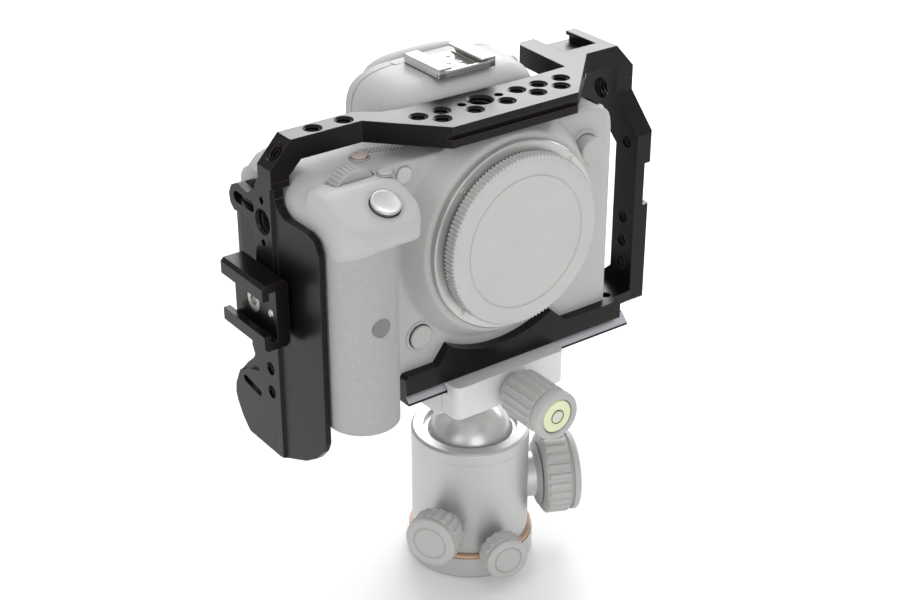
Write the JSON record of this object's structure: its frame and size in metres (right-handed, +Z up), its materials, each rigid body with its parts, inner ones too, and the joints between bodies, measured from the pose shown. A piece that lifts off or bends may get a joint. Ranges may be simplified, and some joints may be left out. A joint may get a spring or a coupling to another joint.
{
  "type": "cinema camera rig",
  "caption": "Mirrorless camera in a black machined cage with threads, cold shoes and strap loops, clamped by its dovetail on a panning and tilting ball head.",
  "frame": {"origin": "centre of the tripod socket's mouth under the ball head", "axes": "+Z up, the camera looks along -Y, its grip is on the -X side"},
  "size_m": [0.1728, 0.0891, 0.2033],
  "materials": {
    "cage_black": "satin black hard anodised, machined edges slightly brighter",
    "head_grey": "pale grey anodised, fine turned grain",
    "knob_grey": "pale grey moulded grip with ribs",
    "ball_grey": "pale hard anodised, satin polished",
    "ring_orange": "orange anodised hairline ring",
    "camera_grey": "pale grey fine-grained magnesium paint",
    "skin_grey": "pale grey pebbled rubber grip cover",
    "mount_steel": "turned stainless lens mount face",
    "cap_grey": "moulded cap with knurled rim",
    "steel": "bare turned steel",
    "screw_black": "black oxide screws",
    "door_black": "satin black door with a soft grained face",
    "button_silver": "fine turned button caps",
    "record_red": "record button, red",
    "lens_dark": "smoked lamp and sensor windows",
    "level_green": "bubble level vial",
    "screen_glass": "dark display glass",
    "rubber_dark": "eyecup rubber",
    "board_green": "circuit board",
    "battery_dark": "battery pack"
  },
  "bodies": {
    "head": {"head_base": "head_grey", "pan_ring": "ring_orange"},
    "housing": {"housing": "head_grey", "rim_collar": "head_grey"},
    "seat": {"ball_seat": "steel"},
    "clamp": {"ball": "ball_grey", "clamp_body": "head_grey"},
    "jaw": {"clamp_jaw": "head_grey"},
    "clamp_knob": {"clamp_knob": "knob_grey", "clamp_screw": "steel", "bubble_level": "level_green"},
    "main_knob": {"main_knob": "knob_grey"},
    "friction_knob": {"friction_knob": "knob_grey"},
    "pan_knob": {"pan_knob": "knob_grey"},
    "camera_screw": {"camera_screw": "steel"},
    "body_cap": {"body_cap": "cap_grey"},
    "battery_door": {"battery_door": "camera_grey"},
    "card_door": {"card_door": "door_black"},
    "port_cover": {"port_cover": "skin_grey"},
    "dioptre_knob": {"dioptre_knob": "knob_grey"},
    "monitor": {"monitor": "camera_grey", "screen_glass": "screen_glass"},
    "shutter_button": {"shutter_button": "button_silver"},
    "front_dial": {"front_dial": "knob_grey"},
    "record_button": {"record_button": "record_red"},
    "function_button": {"function_button": "button_silver"},
    "release_button": {"release_button": "camera_grey"},
    "preview_button": {"preview_button": "button_silver"},
    "rear_dial": {"rear_dial": "knob_grey"},
    "thumb_stick": {"thumb_stick": "rubber_dark"},
    "rig": {"top_bar": "cage_black", "grip_side_frame": "cage_black", "grip_wing": "cage_black", "foot_block": "cage_black", "block_screws": "screw_black", "side_cold_shoe": "cage_black", "shoe_screw": "steel", "shoe_pin": "steel", "port_side_frame": "cage_black", "base_plate": "cage_black", "dovetail_plate": "cage_black", "plate_screws": "screw_black", "front_shell": "camera_grey", "grip_skin": "skin_grey", "rear_shell": "camera_grey", "bottom_cover": "camera_grey", "mount_ring": "mount_steel", "sensor_unit": "screw_black", "main_board": "board_green", "battery": "battery_dark", "viewfinder": "camera_grey", "hot_shoe": "steel", "eyecup": "rubber_dark", "eyepiece_glass": "screen_glass", "screen_pin": "steel", "lamp_window": "lens_dark", "ir_window": "lens_dark"}
  },
  "joints": [
    {"name": "pan_turn", "type": "hinge", "parent": "head", "child": "housing", "pos_m": [0, 0, 0.012], "axis": [0, 0, 1], "continuous": true},
    {"name": "tilt_side", "type": "hinge", "parent": "housing", "child": "seat", "pos_m": [0, 0, 0.05], "axis": [1, 0, 0], "range_deg": [-30, 30]},
    {"name": "tilt_fore", "type": "hinge", "parent": "seat", "child": "clamp", "pos_m": [0, 0, 0.05], "axis": [0, 1, 0], "range_deg": [-30, 30]},
    {"name": "main_lock_turn", "type": "hinge", "parent": "housing", "child": "main_knob", "pos_m": [0.02719, -0.01268, 0.0295], "axis": [0.9063, -0.4226, 0], "range_deg": [-90, 180]},
    {"name": "friction_lock_turn", "type": "hinge", "parent": "housing", "child": "friction_knob", "pos_m": [-0.02636, -0.01431, 0.0228], "axis": [-0.8788, -0.4772, 0], "range_deg": [-90, 180]},
    {"name": "pan_lock_turn", "type": "hinge", "parent": "housing", "child": "pan_knob", "pos_m": [-0.00624, -0.02934, 0.0142], "axis": [-0.2079, -0.9781, 0], "range_deg": [-90, 180]},
    {"name": "jaw_slide", "type": "slide", "parent": "clamp", "child": "jaw", "axis": [0, -1, 0], "range_m": [0, 0.003]},
    {"name": "clamp_turn", "type": "hinge", "parent": "jaw", "child": "clamp_knob", "pos_m": [0, -0.04, 0.0852], "axis": [0, -1, 0], "range_deg": [0, 1080]},
    {"name": "plate_slide", "type": "slide", "parent": "clamp", "child": "rig", "axis": [1, 0, 0], "range_m": [-0.01, 0.01]},
    {"name": "camera_screw_turn", "type": "hinge", "parent": "rig", "child": "camera_screw", "pos_m": [0, 0, 0.0906], "axis": [0, 0, 1], "continuous": true},
    {"name": "cap_turn", "type": "hinge", "parent": "rig", "child": "body_cap", "pos_m": [0, -0.029, 0.1475], "axis": [0, 1, 0], "range_deg": [0, 60]},
    {"name": "release_press", "type": "slide", "parent": "rig", "child": "release_button", "axis": [0, 1, 0], "range_m": [0, 0.0011], "stiffness_N_per_m": 800, "springref_m": -0.0004},
    {"name": "shutter_press", "type": "slide", "parent": "rig", "child": "shutter_button", "axis": [0, 0.4472, -0.8944], "range_m": [0, 0.0012], "stiffness_N_per_m": 500, "springref_m": -0.0003},
    {"name": "record_press", "type": "slide", "parent": "rig", "child": "record_button", "axis": [0, 0, -1], "range_m": [0, 0.0008], "stiffness_N_per_m": 500, "springref_m": -0.0003},
    {"name": "function_press", "type": "slide", "parent": "rig", "child": "function_button", "axis": [0, 0, -1], "range_m": [0, 0.0008], "stiffness_N_per_m": 500, "springref_m": -0.0003},
    {"name": "preview_press", "type": "slide", "parent": "rig", "child": "preview_button", "axis": [0, 1, 0], "range_m": [0, 0.0008], "stiffness_N_per_m": 500, "springref_m": -0.0003},
    {"name": "stick_tilt", "type": "hinge", "parent": "rig", "child": "thumb_stick", "pos_m": [-0.0465, 0.024, 0.146], "axis": [1, 0, 0], "range_deg": [-8, 8], "stiffness_Nm_per_rad": 0.02},
    {"name": "front_dial_turn", "type": "hinge", "parent": "rig", "child": "front_dial", "pos_m": [-0.0615, -0.015, 0.177], "axis": [0, 1, 0], "continuous": true},
    {"name": "rear_dial_turn", "type": "hinge", "parent": "rig", "child": "rear_dial", "pos_m": [-0.058, 0.0255, 0.1084], "axis": [0, 1, 0], "continuous": true},
    {"name": "dioptre_turn", "type": "hinge", "parent": "rig", "child": "dioptre_knob", "pos_m": [0.032, 0.021, 0.1895], "axis": [1, 0, 0], "range_deg": [-60, 60]},
    {"name": "card_door_slide", "type": "slide", "parent": "rig", "child": "card_door", "axis": [0, 1, 0], "range_m": [0, 0.004]},
    {"name": "battery_door_hinge", "type": "hinge", "parent": "rig", "child": "battery_door", "pos_m": [-0.0562, -0.01, 0.09815], "axis": [0, -1, 0], "range_deg": [0, 85]},
    {"name": "monitor_hinge", "type": "hinge", "parent": "rig", "child": "monitor", "pos_m": [0.054, 0.0273, 0.132], "axis": [0, 0, -1], "range_deg": [0, 175]},
    {"name": "port_cover_hinge", "type": "hinge", "parent": "rig", "child": "port_cover", "pos_m": [0.057, -0.0035, 0.13], "axis": [0, 0, -1], "range_deg": [0, 60]}
  ],
  "couplings": [
    {"joint": "clamp_turn", "follows": "jaw_slide", "rad_per_m": 6283}
  ]
}
